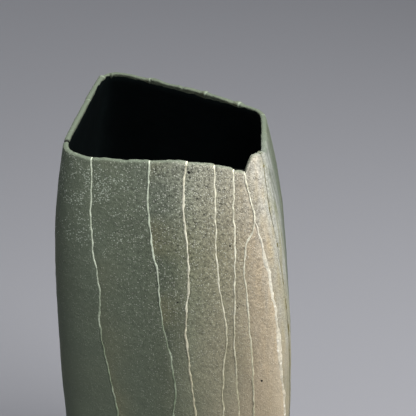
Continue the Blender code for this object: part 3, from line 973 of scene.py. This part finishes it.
def stoneware(name, contrast, pale_cover, dark_cover):
    """Sandy stoneware: green away from the front right corner and sandy towards it."""
    made, shader, w = new_material(name, roughness=0.80)
    shader.inputs["Specular IOR Level"].default_value = 0.30
    ramp = w.add("ShaderNodeValToRGB", {"Fac": w.mask("blush")})
    band = ramp.color_ramp.elements
    band[0].position, band[0].color = CLAYS[0]
    band[1].position, band[1].color = CLAYS[-1]
    for position, colour in CLAYS[1:-1]:
        band.new(position).color = colour
    colour = w.mix(w.mask("stain", 0.40), ramp.outputs["Color"], STAIN)
    colour = w.mix(w.mask("streak", 0.66), colour, CHALK)
    colour, height = grains_in(w, colour, size=0.00050, contrast=w.mask("coarse", contrast))
    colour, _ = specks_in(w, colour, FROST, spacing=0.00085, size=0.50, share=w.mask("frost"), cover=0.62)
    cover = w.mask("coarse", pale_cover)
    colour, grit = specks_in(w, colour, PALE_GRIT, spacing=0.00090, size=0.44, share=0.36, cover=cover)
    cover = w.mask("coarse", dark_cover)
    colour, _ = specks_in(w, colour, DARK_GRIT, spacing=0.00105, size=0.40, share=0.32, cover=cover)
    pits = w.group(pit_tree, {"Colour": colour, "Pit Colour": BURNT})
    colour = w.mix(w.mask("lip", 0.72), pits.outputs["Colour"], WORN)
    # Painted shade over the walls of the crack.
    w.put(shader.inputs["Base Color"], w.mix(w.mask("crack"), colour, CRACK_SHADE_COLOUR))
    height = w.math("ADD", height, w.math("MULTIPLY", grit, 0.5))
    height = w.math("SUBTRACT", height, pits.outputs["Mask"])
    w.bump(shader, height, strength=0.70, distance=0.00030)
    return made


def slip_finish(name, colour, specks, faded):
    """Slip in a joint or raw clay, speckled, and faded where it wore thin."""
    made, shader, w = new_material(name, roughness=0.75)
    shader.inputs["Specular IOR Level"].default_value = 0.30
    colour, height = grains_in(w, w.mix(w.mask("thin"), colour, faded), size=0.0012, contrast=1.1)
    colour, _ = specks_in(w, colour, specks, spacing=0.0021, size=0.42, share=0.34, cover=0.65)
    w.put(shader.inputs["Base Color"], colour)
    w.bump(shader, height, strength=0.5, distance=0.0002)
    return made


def glaze_finish():
    """Dark glaze, faintly uneven."""
    made, shader, w = new_material("dark_glaze", roughness=0.28)
    colour, height = grains_in(w, GLAZE, size=0.012, contrast=0.8)
    w.put(shader.inputs["Base Color"], colour)
    w.bump(shader, height, strength=0.25, distance=0.0012)
    return made


# ---------------------------------------------------------------- putting it together

grain_tree = fired_grain_group()
speck_tree = specks_group()
pit_tree = burnt_pits_group()
clay = {
    "stoneware_green": stoneware("green_stoneware", 2.6, 0.50, 0.45),
    "stoneware_olive": stoneware("olive_stoneware", 2.9, 0.55, 0.52),
    "stoneware_sand": stoneware("sand_stoneware", 2.8, 0.48, 0.52),
}
slips = {
    "green": slip_finish("pale_green_slip", srgb(188, 197, 178), srgb(128, 136, 118), srgb(124, 136, 112)),
    "cream": slip_finish("cream_slip", srgb(218, 216, 196), srgb(156, 152, 128), srgb(186, 182, 154)),
    # Real slip, made pale with bright specks as a painted highlight along the corner edge.
    "slip_and_highlight": slip_finish("gritty_slip", srgb(206, 202, 186), srgb(244, 241, 230), srgb(188, 180, 160)),
    "ochre": slip_finish("ochre_slip", srgb(92, 86, 44), srgb(58, 54, 30), srgb(104, 98, 60)),
    "dull": slip_finish("dull_green_slip", srgb(118, 128, 112), srgb(90, 98, 84), srgb(100, 110, 94)),
}
raw = slip_finish("raw_clay", srgb(168, 150, 124), srgb(90, 78, 62), srgb(150, 134, 110))
glaze = glaze_finish()

slot_of = {part["node"]: part["material_slot"] for part in frame["record"]["subparts"]}


def finish_piece(made, node, material):
    """Give a piece its material, and stand it in for its CAD node."""
    made.data.materials.append(material)
    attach(made, "root")
    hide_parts(node)


for index, joint in enumerate(JOINTS):
    strip, node = make_strip(index)
    finish_piece(strip, node, clay[slot_of[node]])
    bead, node = make_bead(index)
    finish_piece(bead, node, slips[joint.finish])
for make, finish in ((make_base, raw), (make_coil, raw), (make_glaze, glaze)):
    made, node = make()
    finish_piece(made, node, finish)

# ---------------------------------------------------------------- floor, light and camera

FLOOR_REACH = 6.0
LIT_HEIGHT = 0.6 * HEIGHT  # what the lights point at
SKY, SKY_STRENGTH = (0.82, 0.9, 1.0, 1), 0.12
CAMERA_AZIMUTH, CAMERA_ELEVATION, CAMERA_DISTANCE = -80, 27, 0.750  # degrees, degrees, metres
CAMERA_LOOKS_AT = Vector((0.01677, -0.02466, 0.24231))
FOCAL_LENGTH, SENSOR_WIDTH = 129.8, 36


def make_floor():
    mesh = bpy.data.meshes.new("floor")
    corners = [(x * FLOOR_REACH, y * FLOOR_REACH, 0) for x, y in ((-1, -1), (1, -1), (1, 1), (-1, 1))]
    mesh.from_pydata(corners, [], [(0, 1, 2, 3)])
    floor = bpy.data.objects.new("floor", mesh)
    bpy.context.scene.collection.objects.link(floor)
    made, shader, _ = new_material("pale_floor", roughness=0.9)
    shader.inputs["Base Color"].default_value = PALE_FLOOR
    mesh.materials.append(made)


def towards(azimuth, elevation):
    """Direction from the vase, by degrees round from +X and up from the floor."""
    a, e = math.radians(azimuth), math.radians(elevation)
    return Vector((math.cos(a) * math.cos(e), math.sin(a) * math.cos(e), math.sin(e)))


def stand(made, looked_at, direction, distance):
    """Put a lamp or camera off in a direction, and turn it back to what it looks at."""
    made.location = looked_at + direction * distance
    made.rotation_euler = direction.to_track_quat("Z", "Y").to_euler()
    bpy.context.scene.collection.objects.link(made)


def make_light(name, azimuth, elevation, distance, size, power, colour=(1, 1, 1)):
    lamp = bpy.data.lights.new(name, "AREA")
    lamp.shape = "RECTANGLE"
    lamp.size, lamp.size_y = size
    lamp.energy = power
    lamp.color = colour
    made = bpy.data.objects.new(name, lamp)
    stand(made, Vector((0, 0, LIT_HEIGHT)), towards(azimuth, elevation), distance)


def make_world():
    world = bpy.data.worlds.new("studio")
    world.use_nodes = True
    background = world.node_tree.nodes["Background"]
    background.inputs["Color"].default_value = SKY
    background.inputs["Strength"].default_value = SKY_STRENGTH
    bpy.context.scene.world = world


def make_camera():
    lens = bpy.data.cameras.new("camera")
    lens.lens, lens.sensor_width = FOCAL_LENGTH, SENSOR_WIDTH
    lens.clip_start, lens.clip_end = 0.01, 50
    camera = bpy.data.objects.new("camera", lens)
    stand(camera, CAMERA_LOOKS_AT, towards(CAMERA_AZIMUTH, CAMERA_ELEVATION), CAMERA_DISTANCE)
    bpy.context.scene.camera = camera


make_floor()
make_light("key_light", -27, 60, 1.02, (0.6, 0.7), power=22, colour=(1.0, 0.985, 0.96))
make_light("fill_light", -115, 40, 1.8, (1.6, 1.2), power=5)
make_light("back_light", 130, 30, 1.9, (1.6, 1.2), power=7)
make_world()
make_camera()
bpy.context.scene.view_settings.view_transform = "Standard"

bpy.context.view_layer.update()
